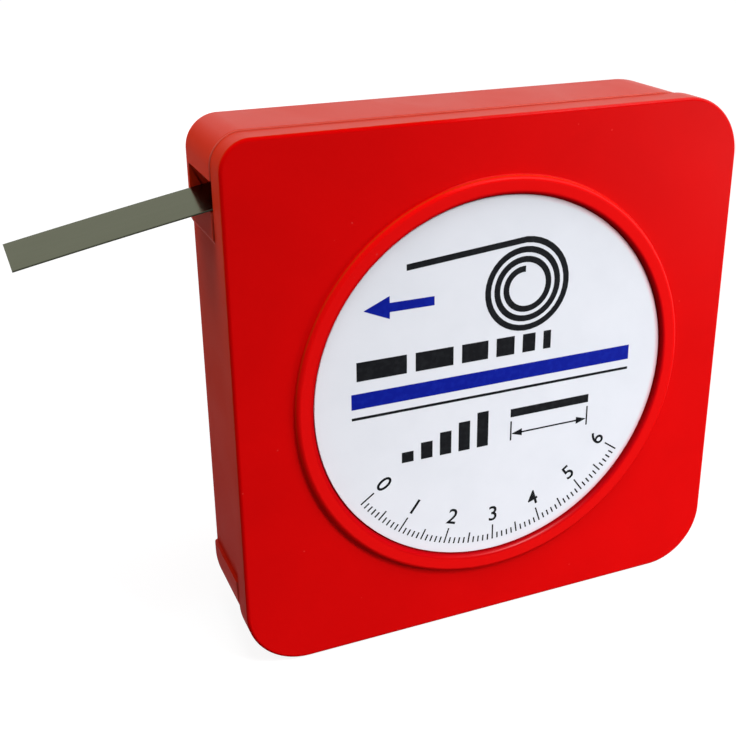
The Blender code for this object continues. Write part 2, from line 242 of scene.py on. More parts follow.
def combine(target, tools, operation):
    """Apply a Boolean with each tool in turn, then take the tools away."""
    for tool in tools:
        step = target.modifiers.new(tool.name, "BOOLEAN")
        step.operation = operation
        step.solver = "EXACT"
        step.object = tool
    bpy.context.view_layer.update()
    graph = bpy.context.evaluated_depsgraph_get()
    result = bpy.data.meshes.new_from_object(target.evaluated_get(graph))
    target.modifiers.clear()
    target.data = result
    for tool in tools:
        bpy.data.objects.remove(tool, do_unlink=True)


def dress(piece, material, node=None):
    """Give a piece its material, shading and place on the frame's body."""
    piece.data.materials.clear()
    piece.data.materials.append(material)
    piece.data.shade_smooth()
    piece.data.set_sharp_from_angle(angle=math.radians(SHARP_DEGREES))
    weighted = piece.modifiers.new("weighted_normals", "WEIGHTED_NORMAL")
    weighted.keep_sharp = True
    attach(piece, "root")
    if node:
        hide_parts(node)


def outer_edge_steps(outer_depth, inward, radius):
    """Depths and insets of a round edge that starts at outer_depth and runs inward, +1 or -1."""
    steps = []
    for i in range(ROUND_SEGMENTS + 1):
        angle = math.radians(RIGHT_ANGLE * i / ROUND_SEGMENTS)
        depth = outer_depth + inward * radius * (1 - math.cos(angle))
        steps.append((depth, radius * (1 - math.sin(angle))))
    return steps


def tail_point(start_angle, length):
    """Point and heading of the strip's tail, a very flat arc that leaves the coil tangentially."""
    heading = start_angle + length / TAIL_BEND_RADIUS
    x = -COIL_OUTER_RADIUS * math.sin(start_angle)
    z = MID_HEIGHT + COIL_OUTER_RADIUS * math.cos(start_angle)
    x -= TAIL_BEND_RADIUS * (math.sin(heading) - math.sin(start_angle))
    z -= TAIL_BEND_RADIUS * (math.cos(start_angle) - math.cos(heading))
    return x, z, heading


def tail_length_to(start_angle, target_x):
    """Length of the tail from the coil to the upright plane x = target_x."""
    reach = -target_x - COIL_OUTER_RADIUS * math.sin(start_angle)
    heading = math.asin(reach / TAIL_BEND_RADIUS + math.sin(start_angle))
    return (heading - start_angle) * TAIL_BEND_RADIUS


def find_start_angle():
    """Angle on the coil, from its top, where a tail leaves that passes the notch at its height."""
    low = 0.0
    high = math.radians(STEEPEST_START)
    for _ in range(ANGLE_STEPS):
        middle = (low + high) / 2
        _, z, _ = tail_point(middle, tail_length_to(middle, -HALF_WIDTH))
        if z > TAIL_EXIT_HEIGHT:
            low = middle
        else:
            high = middle
    return (low + high) / 2


START_ANGLE = find_start_angle()
INSIDE_LENGTH = tail_length_to(START_ANGLE, -HALF_WIDTH)
TAIL_LENGTH = tail_length_to(START_ANGLE, TAIL_END_X)
COILED_LENGTH = STRIP_LENGTH - TAIL_LENGTH
COIL_INNER_RADIUS = math.sqrt(COIL_OUTER_RADIUS ** 2 - COILED_LENGTH * STRIP_THICKNESS / math.pi)
RIB_RADIUS = (COIL_OUTER_RADIUS + COIL_INNER_RADIUS) / 2
GUIDE_SLOPE = math.tan(START_ANGLE)
GUIDE_DISTANCE = (SLOT_BOTTOM + GUIDE_SLOPE * HALF_WIDTH - MID_HEIGHT) * math.cos(START_ANGLE)
NOSE_ANGLE = START_ANGLE + math.acos((GUIDE_DISTANCE - NOSE_THICKNESS) / CHAMBER_RADIUS)
CORNER_OPENING_END = COIL_OUTER_RADIUS * math.sin(START_ANGLE)


def guide_height(x):
    return SLOT_BOTTOM + GUIDE_SLOPE * (x + HALF_WIDTH)


def post_places():
    """Centres of the three corner posts, each with a socket for a peg."""
    right = HALF_WIDTH - POST_INSET
    top = CASE_HEIGHT - POST_INSET
    return [(right, top), (right, POST_INSET), (-right, POST_INSET)]


def peg_places():
    """Centres of the four pegs: one at each post and one under the notch."""
    under_notch = (-HALF_WIDTH + LEFT_PEG_INSET, CASE_HEIGHT - LEFT_PEG_BELOW_TOP)
    return [*post_places(), under_notch]


def pocket_outline(side_x, side_z):
    """Corner pocket between the round chamber's wall and the case's corner."""
    radius = SHELL_CORNER_RADIUS - SIDE_WALL
    centre = RIM_RADIUS - radius
    start = RIM_RADIUS * math.sin(math.radians(POCKET_DEGREES))
    points = [(start, RIM_RADIUS)]
    points += arc(centre, centre, radius, RIGHT_ANGLE, 0, CORNER_SEGMENTS)
    points.append((RIM_RADIUS, start))
    points += arc(0, 0, RIM_RADIUS, POCKET_DEGREES, RIGHT_ANGLE - POCKET_DEGREES, CORNER_SEGMENTS)
    return [(side_x * x, MID_HEIGHT + side_z * z) for x, z in points]


def strip_corner_cutter():
    """Open corner above the guide, through which the tail runs to the notch."""
    outline = case_outline(SHELL_CORNER_RADIUS, SIDE_WALL)
    corner = prism("strip_corner_cutter", outline, COVER_DEPTH - CUT, FLOOR_DEPTH)
    outside = -HALF_WIDTH - CUT
    nose_x = -CHAMBER_RADIUS * math.sin(NOSE_ANGLE)
    nose_z = guide_height(nose_x)
    above_guide = [
        (outside, CASE_HEIGHT + CUT),
        (outside, guide_height(outside)),
        (nose_x, nose_z),
        (nose_x, nose_z - NOSE_DROP),
        (-CORNER_OPENING_END, nose_z - NOSE_DROP),
        (-CORNER_OPENING_END, CASE_HEIGHT + CUT),
    ]
    keep = prism("above_guide", above_guide, COVER_DEPTH - 2 * CUT, FLOOR_DEPTH + CUT)
    combine(corner, [keep], "INTERSECT")
    return corner


def shell_blank():
    """Deep half before it is cut: fine round edge at the parting line, larger one at the back."""
    start = COVER_DEPTH + (GAP + SEAM_GAP) / 2
    steps = outer_edge_steps(start, 1, COVER_STEP)
    steps += reversed(outer_edge_steps(CASE_DEPTH, -1, SHELL_EDGE_ROUND))
    loops = [(depth, case_outline(SHELL_CORNER_RADIUS, inset)) for depth, inset in steps]
    return loft("shell_moulding", loops)


def recess_cutter():
    """Shallow step in the left side under the notch, with a ramp at its top."""
    face = -HALF_WIDTH + RECESS_DEPTH
    outside = -HALF_WIDTH - CUT
    run = RECESS_RAMP * (RECESS_DEPTH + CUT) / RECESS_DEPTH
    outline = [
        (outside, RECESS_BOTTOM),
        (face, RECESS_BOTTOM),
        (face, RECESS_TOP - RECESS_RAMP),
        (outside, RECESS_TOP - RECESS_RAMP + run),
    ]
    return prism("recess_cutter", outline, COVER_DEPTH - CUT, CASE_DEPTH + CUT)


def slot_cutter(margin, front_depth, back_depth):
    """Notch through the left side, with its lower face in line with the guide."""
    outside = -HALF_WIDTH - CUT
    inside = -HALF_WIDTH + EXIT_CORNER_RADIUS
    top = SLOT_TOP + margin
    outline = [
        (outside, guide_height(outside) - margin),
        (inside, guide_height(inside) - margin),
        (inside, top),
        (outside, top),
    ]
    return prism("slot_cutter", outline, front_depth, back_depth)


def groove_cutter():
    """Groove all round the shell's rim that takes the cover's tongue."""
    start = COVER_DEPTH + GAP - CUT
    end = COVER_DEPTH + GROOVE_DEPTH
    outer = prism("groove_cutter", case_outline(SHELL_CORNER_RADIUS, GROOVE_INSET), start, end)
    core_outline = case_outline(SHELL_CORNER_RADIUS, GROOVE_INSET + GROOVE_WIDTH)
    combine(outer, [prism("groove_core", core_outline, start - CUT, end + CUT)], "DIFFERENCE")
    return outer


def shell_moulding():
    shell = shell_blank()
    open_front = COVER_DEPTH - CUT
    chamber = circle_outline(0.0, MID_HEIGHT, CHAMBER_RADIUS, CIRCLE_SEGMENTS)
    cutters = [
        prism("chamber_cutter", chamber, open_front, FLOOR_DEPTH),
        strip_corner_cutter(),
        recess_cutter(),
        slot_cutter(0.0, open_front, FLOOR_DEPTH),
    ]
    for side_x, side_z in ((1, 1), (1, -1), (-1, -1)):
        outline = pocket_outline(side_x, side_z)
        cutters.append(prism("pocket_cutter", outline, open_front, FLOOR_DEPTH))
    combine(shell, cutters, "DIFFERENCE")
    combine(shell, [groove_cutter()], "DIFFERENCE")

    post_top = COVER_DEPTH + GAP + GROOVE_DEPTH
    post_foot = FLOOR_DEPTH + BACK_WALL / 2
    posts = [cylinder("post", x, z, POST_RADIUS, post_top, post_foot) for x, z in post_places()]
    socket_end = COVER_DEPTH + PEG_LENGTH + GAP
    sockets = []
    for x, z in peg_places():
        sockets.append(cylinder("socket", x, z, PEG_RADIUS + GAP, open_front, socket_end))
    combine(shell, posts, "UNION")
    combine(shell, sockets, "DIFFERENCE")
    return shell


def ring_profile():
    """Raised ring in (radius, depth): inner wall, crest that falls a little inward, outer foot."""
    foot_radius = RING_BORE + RING_WIDTH
    wall_radius = foot_radius - RING_FOOT
    root = LABEL_SEAT + FRONT_WALL / 2
    inner_crest = RING_DISH - RING_HEIGHT
    points = [(RING_BORE, root)]
    for step in range(ROUND_SEGMENTS + 1):
        angle = math.radians(RIGHT_ANGLE * step / ROUND_SEGMENTS)
        radius = RING_BORE + RING_INNER_ROUND * (1 - math.cos(angle))
        depth = inner_crest + RING_INNER_ROUND * (1 - math.sin(angle))
        points.append((radius, depth))
    for step in range(ROUND_SEGMENTS + 1):
        angle = math.radians(RIGHT_ANGLE * step / ROUND_SEGMENTS)
        radius = wall_radius - RING_OUTER_ROUND * (1 - math.sin(angle))
        depth = -RING_HEIGHT + RING_OUTER_ROUND * (1 - math.cos(angle))
        points.append((radius, depth))
    points += [(wall_radius, -RING_FOOT), (foot_radius, 0.0), (foot_radius, root)]
    return points


def cover_blank():
    """Shallow half before it is cut, a small step inside the shell all round."""
    steps = outer_edge_steps(0.0, 1, COVER_EDGE_ROUND)
    end = COVER_DEPTH + (GAP - SEAM_GAP) / 2
    steps += [(end - SEAM_BEVEL, 0.0), (end, SEAM_BEVEL)]
    loops = [(depth, case_outline(COVER_CORNER_RADIUS, COVER_STEP + inset)) for depth, inset in steps]
    return loft("cover_moulding", loops)


def cover_tongue():
    """Thin wall that stands on the cover's inner edge and enters the shell's groove."""
    start = FRONT_WALL / 2
    end = COVER_DEPTH + TONGUE_LENGTH
    outer = prism("tongue", case_outline(SHELL_CORNER_RADIUS, TONGUE_INSET), start, end)
    core_outline = case_outline(SHELL_CORNER_RADIUS, TONGUE_INSET + TONGUE_THICKNESS)
    core = prism("tongue_core", core_outline, start - CUT, end + CUT)
    combine(outer, [core, slot_cutter(CUT, COVER_DEPTH, end + CUT)], "DIFFERENCE")
    return outer


def cover_moulding():
    cover = cover_blank()
    tray = case_outline(SHELL_CORNER_RADIUS, SIDE_WALL)
    combine(cover, [prism("tray_cutter", tray, FRONT_WALL, COVER_DEPTH + CUT)], "DIFFERENCE")
    combine(cover, [turned("ring", ring_profile())], "UNION")
    seat_outline = circle_outline(0.0, MID_HEIGHT, RING_BORE, CIRCLE_SEGMENTS)
    combine(cover, [prism("seat_cutter", seat_outline, -RING_HEIGHT - CUT, LABEL_SEAT)], "DIFFERENCE")

    root = FRONT_WALL / 2 + LABEL_SEAT
    rib_inner = RIB_RADIUS - RIB_THICKNESS / 2
    rib_outer = RIB_RADIUS + RIB_THICKNESS / 2
    rib_profile = [
        (rib_inner, root),
        (rib_outer, root),
        (rib_outer, COVER_DEPTH),
        (rib_inner, COVER_DEPTH),
    ]
    inside = [cover_tongue(), turned("coil_rib", rib_profile)]
    for x, z in peg_places():
        inside.append(cylinder("peg", x, z, PEG_RADIUS, root, COVER_DEPTH + PEG_LENGTH))
    combine(cover, inside, "UNION")
    return cover


# Label
LABEL_EDGE = 0.06


def label_film():
    """Round film with a fine edge, lying in its seat."""
    loops = [
        (0.0, circle_outline(0.0, MID_HEIGHT, LABEL_RADIUS - LABEL_EDGE, CIRCLE_SEGMENTS)),
        (LABEL_EDGE, circle_outline(0.0, MID_HEIGHT, LABEL_RADIUS, CIRCLE_SEGMENTS)),
        (LABEL_THICKNESS, circle_outline(0.0, MID_HEIGHT, LABEL_RADIUS, CIRCLE_SEGMENTS)),
    ]
    return loft("label_film", loops)


# Print on the label, placed in millimetres from the label's middle. A rectangle is given as left,
# right, low and high, and an arrow's head as tip, base, height and half its width.
INK = 0.02
COIL_PICTURE = (5.0, 17.0)
COIL_PICTURE_RADII = (3.2, 8.4)
COIL_PICTURE_TURNS = 3
COIL_PICTURE_LINE = 1.1
PICTURE_TAIL_END = (-17.0, 23.4)
ARROW_SHAFT = (-20.0, -12.0, 16.2, 17.8)
ARROW_HEAD = (-24.5, -20.0, 17.0, 2.0)
ARROW_POINT = 0.1
BLOCK_WIDTHS = (9.0, 7.0, 5.0, 3.5, 2.5, 1.5)
BLOCK_START = -26.0
BLOCK_SPACE = 1.6
BLOCK_LOW = 4.8
BLOCK_HIGH = 8.2
BAND = (-27.0, 27.0, -0.2, 2.6)
BAND_LINE = (-27.0, 27.0, -2.2, -1.7)
STEP_HEIGHTS = (2.0, 3.2, 4.4, 5.6, 6.8)
STEP_START = -18.0
STEP_PITCH = 3.6
STEP_WIDTH = 2.2
STEP_FOOT = -12.0
SECTION_BAR = (3.0, 19.0, -7.4, -5.8)
SECTION_ENDS = ((3.0, 3.3, -12.0, -8.2), (18.7, 19.0, -12.0, -8.2))
SECTION_WIDTH = (5.0, 17.0, -10.85, -10.55)
SECTION_ARROWS = ((3.4, 5.4, -10.7, 0.7), (18.6, 16.6, -10.7, 0.7))
RULE_RADIUS = 31.6
RULE_FIGURES = 7
FIGURE_PITCH = 10
TICK_THICKNESS = 0.28
LONG_TICK = 3.0
MIDDLE_TICK = 2.1
SHORT_TICK = 1.2
FIGURE_RADIUS = 26.4
FIGURE_SIZE = 4.2
FIGURE_WEIGHT = 0.04
FIGURE_SMOOTHNESS = 4


def block(left, right, low, high):
    """Upright rectangle as a ribbon, a row of (lower, upper) points."""
    return [((left, low), (left, high)), ((right, low), (right, high))]


def arrow_head(tip_x, base_x, z, half_height):
    half_point = ARROW_POINT / 2
    return [
        ((base_x, z - half_height), (base_x, z + half_height)),
        ((tip_x, z - half_point), (tip_x, z + half_point)),
    ]


def coil_picture():
    """Spiral line that leaves its last turn at the top and runs out to the left."""
    centre_x, centre_z = COIL_PICTURE
    inner, outer = COIL_PICTURE_RADII
    half = COIL_PICTURE_LINE / 2
    steps = COIL_PICTURE_TURNS * PEG_SEGMENTS
    ribbon = []
    for step in range(steps + 1):
        share = step / steps
        angle = math.radians(RIGHT_ANGLE) - 2 * math.pi * COIL_PICTURE_TURNS * (1 - share)
        radius = inner + (outer - inner) * share
        along_x = math.cos(angle)
        along_z = math.sin(angle)
        near = (centre_x + (radius - half) * along_x, centre_z + (radius - half) * along_z)
        far = (centre_x + (radius + half) * along_x, centre_z + (radius + half) * along_z)
        ribbon.append((near, far))
    end_x, end_z = PICTURE_TAIL_END
    ribbon.append(((end_x, end_z - half), (end_x, end_z + half)))
    return ribbon


def rule_angle(length):
    """Angle in degrees at which a length lies on the curved rule, its middle at the bottom."""
    whole = (RULE_FIGURES - 1) * FIGURE_PITCH
    return 3 * RIGHT_ANGLE + math.degrees((length - whole / 2) / RULE_RADIUS)


def tick_reach(length):
    if length % FIGURE_PITCH == 0:
        return LONG_TICK
    if length % (FIGURE_PITCH // 2) == 0:
        return MIDDLE_TICK
    return SHORT_TICK


def rule_ticks():
    """A short line toward the middle at each millimetre of the curved rule."""
    ticks = []
    for length in range((RULE_FIGURES - 1) * FIGURE_PITCH + 1):
        angle = math.radians(rule_angle(length))
        along = Vector((math.cos(angle), math.sin(angle)))
        aside = Vector((-along.y, along.x)) * TICK_THICKNESS / 2
        ends = (along * RULE_RADIUS, along * (RULE_RADIUS - tick_reach(length)))
        ticks.append([(tuple(end - aside), tuple(end + aside)) for end in ends])
    return ticks


def black_ribbons():
    """Coil picture, line, rule, row of blocks, rising bars and the strip's section with its width."""
    ribbons = [coil_picture(), block(*BAND_LINE), *rule_ticks()]
    x = BLOCK_START
    for width in BLOCK_WIDTHS:
        ribbons.append(block(x, x + width, BLOCK_LOW, BLOCK_HIGH))
        x += width + BLOCK_SPACE
    for i, height in enumerate(STEP_HEIGHTS):
        x = STEP_START + i * STEP_PITCH
        ribbons.append(block(x, x + STEP_WIDTH, STEP_FOOT, STEP_FOOT + height))
    ribbons += [block(*sides) for sides in (SECTION_BAR, *SECTION_ENDS, SECTION_WIDTH)]
    ribbons += [arrow_head(*head) for head in SECTION_ARROWS]
    return ribbons


def blue_ribbons():
    """Band across the label and the arrow."""
    return [block(*BAND), block(*ARROW_SHAFT), arrow_head(*ARROW_HEAD)]


def print_ribbons(built, ribbons):
    """Thin closed prisms that stand on the film, one for each ribbon."""
    for ribbon in ribbons:
        rows = []
        for pair in ribbon:
            row = []
            for depth, (x, z) in ((-INK, pair[0]), (-INK, pair[1]), (INK, pair[1]), (INK, pair[0])):
                row.append(built.verts.new((x, FRONT_Y + depth, MID_HEIGHT + z)))
            rows.append(row)
        for row, following in zip(rows, rows[1:]):
            for i in range(len(row)):
                j = (i + 1) % len(row)
                built.faces.new((row[i], row[j], following[j], following[i]))
        built.faces.new(rows[0])
        built.faces.new(rows[-1])


def figure_mesh(figure):
    """One plain number as a thin flat mesh, its middle at the origin."""
    text = bpy.data.curves.new("figure", "FONT")
    text.body = str(figure)
    text.align_x = "CENTER"
    text.align_y = "CENTER"
    text.size = FIGURE_SIZE
    text.extrude = INK
    text.offset = FIGURE_WEIGHT
    text.resolution_u = FIGURE_SMOOTHNESS
    holder = bpy.data.objects.new("figure", text)
    bpy.context.scene.collection.objects.link(holder)
    bpy.context.view_layer.update()
    graph = bpy.context.evaluated_depsgraph_get()
    mesh = bpy.data.meshes.new_from_object(holder.evaluated_get(graph))
    bpy.data.objects.remove(holder, do_unlink=True)
    return mesh


def print_figures(built):
    """Plain numbers along the curved rule, their feet toward the rim."""
    for figure in range(RULE_FIGURES):
        degrees = rule_angle(figure * FIGURE_PITCH)
        mesh = figure_mesh(figure)
        turn = Matrix.Rotation(math.radians(degrees + RIGHT_ANGLE), 4, "Z")
        upright = Matrix.Rotation(math.radians(RIGHT_ANGLE), 4, "X")
        angle = math.radians(degrees)
        place = (FIGURE_RADIUS * math.cos(angle), FRONT_Y, MID_HEIGHT + FIGURE_RADIUS * math.sin(angle))
        mesh.transform(Matrix.Translation(place) @ upright @ turn)
        built.from_mesh(mesh)


def label_print(name, ribbons, figures=False):
    """All the print of one ink as one piece."""
    built = bmesh.new()
    print_ribbons(built, ribbons)
    if figures:
        print_figures(built)
    return make_object(name, built)


# Steel strip
TURN_CLEARANCE = 0.015
STRIP_EDGE = 0.05


def strip_stations():
    """Places along the strip from the coil's inner end to the tail's end.

    Each has the upper face's (x, z), the heading below -X and the rise of the far edge.
    """
    pitch = STRIP_THICKNESS + TURN_CLEARANCE
    mean_turn = math.pi * (COIL_OUTER_RADIUS + COIL_INNER_RADIUS)
    steps = int(TURN_SEGMENTS * COILED_LENGTH / mean_turn)
    stations = []
    for step in range(steps, 0, -1):
        turns = step / TURN_SEGMENTS
        angle = START_ANGLE - 2 * math.pi * turns
        radius = COIL_OUTER_RADIUS - pitch * turns
        x = -radius * math.sin(angle)
        z = MID_HEIGHT + radius * math.cos(angle)
        stations.append((x, z, angle, 0.0))
    for step in range(TAIL_SEGMENTS + 1):
        length = TAIL_LENGTH * step / TAIL_SEGMENTS
        x, z, heading = tail_point(START_ANGLE, length)
        share = min(1.0, length / INSIDE_LENGTH)
        rise = STRIP_WIDTH * math.sin(math.radians(TAIL_ROLL_DEGREES) * share)
        stations.append((x, z, heading, rise))
    return stations


def strip_section():
    """Section of the strip as (share of the width, depth below the upper face), edges eased."""
    ease = STRIP_EDGE / STRIP_WIDTH
    low = STRIP_THICKNESS
    return [
        (ease, 0.0),
        (1 - ease, 0.0),
        (1.0, STRIP_EDGE),
        (1.0, low - STRIP_EDGE),
        (1 - ease, low),
        (ease, low),
        (0.0, low - STRIP_EDGE),
        (0.0, STRIP_EDGE),
    ]


def strip_roll():
    """The whole strip: about twenty turns wound tight, and the tail that passes the notch.

    Its UV map runs with the length in metres and across the width from 0 to 1.
    """
    built = bmesh.new()
    section = strip_section()
    places = built.verts.layers.float_vector.new("strip_place")
    rows = []
    length = 0.0
    previous = None
    for x, z, heading, rise in strip_stations():
        if previous:
            length += math.dist(previous, (x, z)) * MM
        previous = (x, z)
        row = []
        for share, below in section:
            place_x = x + below * math.sin(heading)
            place_z = z - below * math.cos(heading) + rise * share
            depth = STRIP_FRONT + STRIP_WIDTH * share
            vertex = built.verts.new((place_x, FRONT_Y + depth, place_z))
            vertex[places] = (length, share, 0.0)
            row.append(vertex)
        rows.append(row)
    for row, following in zip(rows, rows[1:]):
        for i in range(len(section)):
            j = (i + 1) % len(section)
            built.faces.new((row[i], row[j], following[j], following[i]))
    built.faces.new(rows[0])
    built.faces.new(rows[-1])
    uv = built.loops.layers.uv.new("strip")
    for face in built.faces:
        for loop in face.loops:
            loop[uv].uv = loop.vert[places][0:2]
    built.verts.layers.float_vector.remove(places)
    return make_object("strip_roll", built)


# Materials. Noise scales are in features per metre.
def new_material(name):
    made = bpy.data.materials.new(name)
    made.use_nodes = True
    return made, made.node_tree, made.node_tree.nodes["Principled BSDF"]


def place_source(tree, stretch=(1.0, 1.0, 1.0)):
    """The surface's place in the object, in metres."""
    source = tree.nodes.new("ShaderNodeTexCoord").outputs["Object"]
    return stretched(tree, source, stretch)


def stretched(tree, source, stretch):
    mapping = tree.nodes.new("ShaderNodeMapping")
    mapping.inputs["Scale"].default_value = stretch
    tree.links.new(source, mapping.inputs["Vector"])
    return mapping.outputs[0]


def noise(tree, source, scale, detail=2.0, distortion=0.0):
    node = tree.nodes.new("ShaderNodeTexNoise")
    node.inputs["Scale"].default_value = scale
    node.inputs["Detail"].default_value = detail
    node.inputs["Distortion"].default_value = distortion
    tree.links.new(source, node.inputs["Vector"])
    return node.outputs["Fac"]


def ranged(tree, value, low, high, start=0.3, end=0.7):
    """Value between low and high as the source runs from start to end."""
    node = tree.nodes.new("ShaderNodeMapRange")
    node.inputs["From Min"].default_value = start
    node.inputs["From Max"].default_value = end
    node.inputs["To Min"].default_value = low
    node.inputs["To Max"].default_value = high
    tree.links.new(value, node.inputs["Value"])
    return node.outputs[0]


def rising(tree, value, start, end):
    """0 to 1 as the value runs from start to end."""
    return ranged(tree, value, 0.0, 1.0, start, end)


def falling(tree, value, start, end):
    """1 to 0 as the value runs from start to end."""
    return ranged(tree, value, 1.0, 0.0, start, end)


def depths(start, end):
    """Two depths from the case's front face as places along +Y in metres."""
    return (FRONT_Y + start) * MM, (FRONT_Y + end) * MM


def worked(tree, operation, first, second):
    """A Math node on two values, each a number or a socket."""
    node = tree.nodes.new("ShaderNodeMath")
    node.operation = operation
    for slot, value in enumerate((first, second)):
        if isinstance(value, (int, float)):
            node.inputs[slot].default_value = value
        else:
            tree.links.new(value, node.inputs[slot])
    return node.outputs[0]


def blended(tree, share, first, second):
    """Colour that runs from first to second, each a colour or a socket."""
    node = tree.nodes.new("ShaderNodeMix")
    node.data_type = "RGBA"
    tree.links.new(share, node.inputs["Factor"])
    for slot, value in ((6, first), (7, second)):
        if isinstance(value, tuple):
            node.inputs[slot].default_value = (*value, 1.0)
        else:
            tree.links.new(value, node.inputs[slot])
    return node.outputs[2]


def bumped(tree, shader, height, strength, distance):
    node = tree.nodes.new("ShaderNodeBump")
    node.inputs["Strength"].default_value = strength
    node.inputs["Distance"].default_value = distance
    tree.links.new(height, node.inputs["Height"])
    tree.links.new(node.outputs[0], shader.inputs["Normal"])


def specks(tree, source, scale, radius, share):
    """1 in small sparse dots: radius is in cells, and share is the part of the cells with a dot."""
    cells = tree.nodes.new("ShaderNodeTexVoronoi")
    cells.inputs["Scale"].default_value = scale
    tree.links.new(source, cells.inputs["Vector"])
    near = ranged(tree, cells.outputs["Distance"], 1.0, 0.0, radius * 0.5, radius)
    pick = tree.nodes.new("ShaderNodeSeparateColor")
    tree.links.new(cells.outputs["Color"], pick.inputs[0])
    return worked(tree, "MULTIPLY", near, worked(tree, "LESS_THAN", pick.outputs[0], share))


def parted(tree, vector):
    """The x, y and z of a vector."""
    node = tree.nodes.new("ShaderNodeSeparateXYZ")
    tree.links.new(vector, node.inputs[0])
    return node.outputs


def from_axis(tree):
    """Distance from the axis of the ring and the coil, in metres."""
    shifted = tree.nodes.new("ShaderNodeMapping")
    shifted.inputs["Location"].default_value = (0.0, 0.0, -MID_HEIGHT * MM)
    shifted.inputs["Scale"].default_value = (1.0, 0.0, 1.0)
    tree.links.new(tree.nodes.new("ShaderNodeTexCoord").outputs["Object"], shifted.inputs["Vector"])
    length = tree.nodes.new("ShaderNodeVectorMath")
    length.operation = "LENGTH"
    tree.links.new(shifted.outputs[0], length.inputs[0])
    return length.outputs["Value"]


def product(tree, *values):
    result = values[0]
    for value in values[1:]:
        result = worked(tree, "MULTIPLY", result, value)
    return result


# Red plastic of the case
RED = (0.645, 0.0012, 0.0014)
RED_DEEP = (0.6, 0.001, 0.0012)
# Painted light: the ring's crest is painted paler than the front, and paler still toward the top
CREST_PAINTED_LIGHT_LOW = (0.658, 0.003, 0.003)
CREST_PAINTED_LIGHT_HIGH = (0.765, 0.003, 0.003)
# Painted warm sheen on the sides, top and shell, and painted shade that darkens their lower part
RED_PAINTED_SIDE_SHEEN = (0.59, 0.028, 0.003)
RED_PAINTED_FOOT_SHADE = (0.4, 0.012, 0.002)
RED_PALE = (0.74, 0.045, 0.04)
# Painted shade on the ring's inner wall round the label
RED_PAINTED_WALL_SHADE = (0.34, 0.001, 0.004)
# The step face at the parting line is painted: pale as painted sheen near the top, dark as painted
# shade lower down
STEP_PAINTED_SHEEN = (0.58, 0.085, 0.06)
STEP_PAINTED_SHADE = (0.3, 0.026, 0.015)
FRONT_SHINE = 0.03
SIDE_SHINE = 0.05
RUBBED_SHINE = 0.25


def plastic_shares(tree, place):
    """Shares from 0 to 1 that tell the case's faces apart, by where they lie and how they face."""
    across, inward, height = parted(tree, place)
    facing = parted(tree, tree.nodes.new("ShaderNodeTexCoord").outputs["Normal"])
    forward = worked(tree, "ABSOLUTE", facing[1], 0.0)
    behind = rising(tree, inward, *depths(COVER_DEPTH - 0.2, COVER_DEPTH))
    edges = product(tree, rising(tree, forward, 0.1, 0.35), falling(tree, forward, 0.88, 0.985))
    skyward = worked(tree, "ADD", product(tree, facing[0], 0.6), product(tree, facing[2], 0.8))
    right = rising(tree, across, -0.012, 0.012)
    ring_wall = falling(tree, from_axis(tree), (RING_BORE + 0.05) * MM, (RING_BORE + 0.75) * MM)
    step_face = product(tree, behind, ranged(tree, forward, 0.0, 0.9, 0.2, 0.7))
    by_seam = falling(tree, inward, *depths(COVER_DEPTH + 0.4, COVER_DEPTH + 0.8))
    return {
        "sides": worked(tree, "MAXIMUM", behind, falling(tree, forward, 0.2, 0.6)),
        "flanks": worked(tree, "MAXIMUM", behind, falling(tree, forward, 0.15, 0.35)),
        "off_ring": rising(tree, inward, *depths(-0.08, -0.02)),
        "rubbed": product(tree, edges, rising(tree, skyward, 0.15, 0.6), right),
        "top": rising(tree, facing[2], 0.5, 0.9),
        "left": falling(tree, facing[0], -0.9, -0.5),
        "front": rising(tree, forward, 0.6, 0.9),
        "flat_front": rising(tree, forward, 0.985, 0.999),
        "crest": falling(tree, inward, *depths(-0.7, -0.3)),
        # Where the painted shade lies on the ring's inner wall
        "groove": product(tree, ring_wall, falling(tree, inward, *depths(1.0, 2.0))),
        # Where the step face at the parting line takes its painted sheen and shade
        "step": product(tree, step_face, by_seam),
        # Height share for the painted shade on the lower sides
        "foot": falling(tree, height, 0.015, 0.062),
        # Height share for the crest's painted light, which grows toward the top
        "high": rising(tree, height, 0.012, 0.082),
        "upmost": rising(tree, height, 0.08, 0.092),
    }


def plastic_colour(tree, place, shares):
    """Clouded red, with painted light on the ring's crest that grows toward the top, a painted warm
    sheen on the sides and shell that turns to painted shade toward the bottom, and painted shade on the
    ring's wall round the label.

    The fine step at the parting line is painted, pale as painted sheen near the top and dark as painted
    shade lower down, and a few pale specks lie on the front.
    """
    clouds = ranged(tree, noise(tree, place, 55.0, 3.0, 0.6), 0.0, 1.0)
    colour = blended(tree, clouds, RED_DEEP, RED)
    # Painted light on the ring's crest, paler toward the top
    crest = blended(tree, shares["high"], CREST_PAINTED_LIGHT_LOW, CREST_PAINTED_LIGHT_HIGH)
    colour = blended(tree, shares["crest"], colour, crest)
    # Painted sheen on the sides and shell, turning to painted shade toward the bottom
    side = blended(tree, shares["foot"], RED_PAINTED_SIDE_SHEEN, RED_PAINTED_FOOT_SHADE)
    colour = blended(tree, product(tree, shares["sides"], 0.8), colour, side)
    # Painted sheen near the top and painted shade lower down on the parting-line step
    colour = blended(tree, shares["step"], colour, blended(tree, shares["upmost"], STEP_PAINTED_SHADE, STEP_PAINTED_SHEEN))
    dots = product(tree, specks(tree, place, 300.0, 0.06, 0.3), shares["front"])
    colour = blended(tree, product(tree, dots, 0.7), colour, RED_PALE)
    # Painted shade on the ring's inner wall beside the label
    return blended(tree, product(tree, shares["groove"], 0.9), colour, RED_PAINTED_WALL_SHADE)


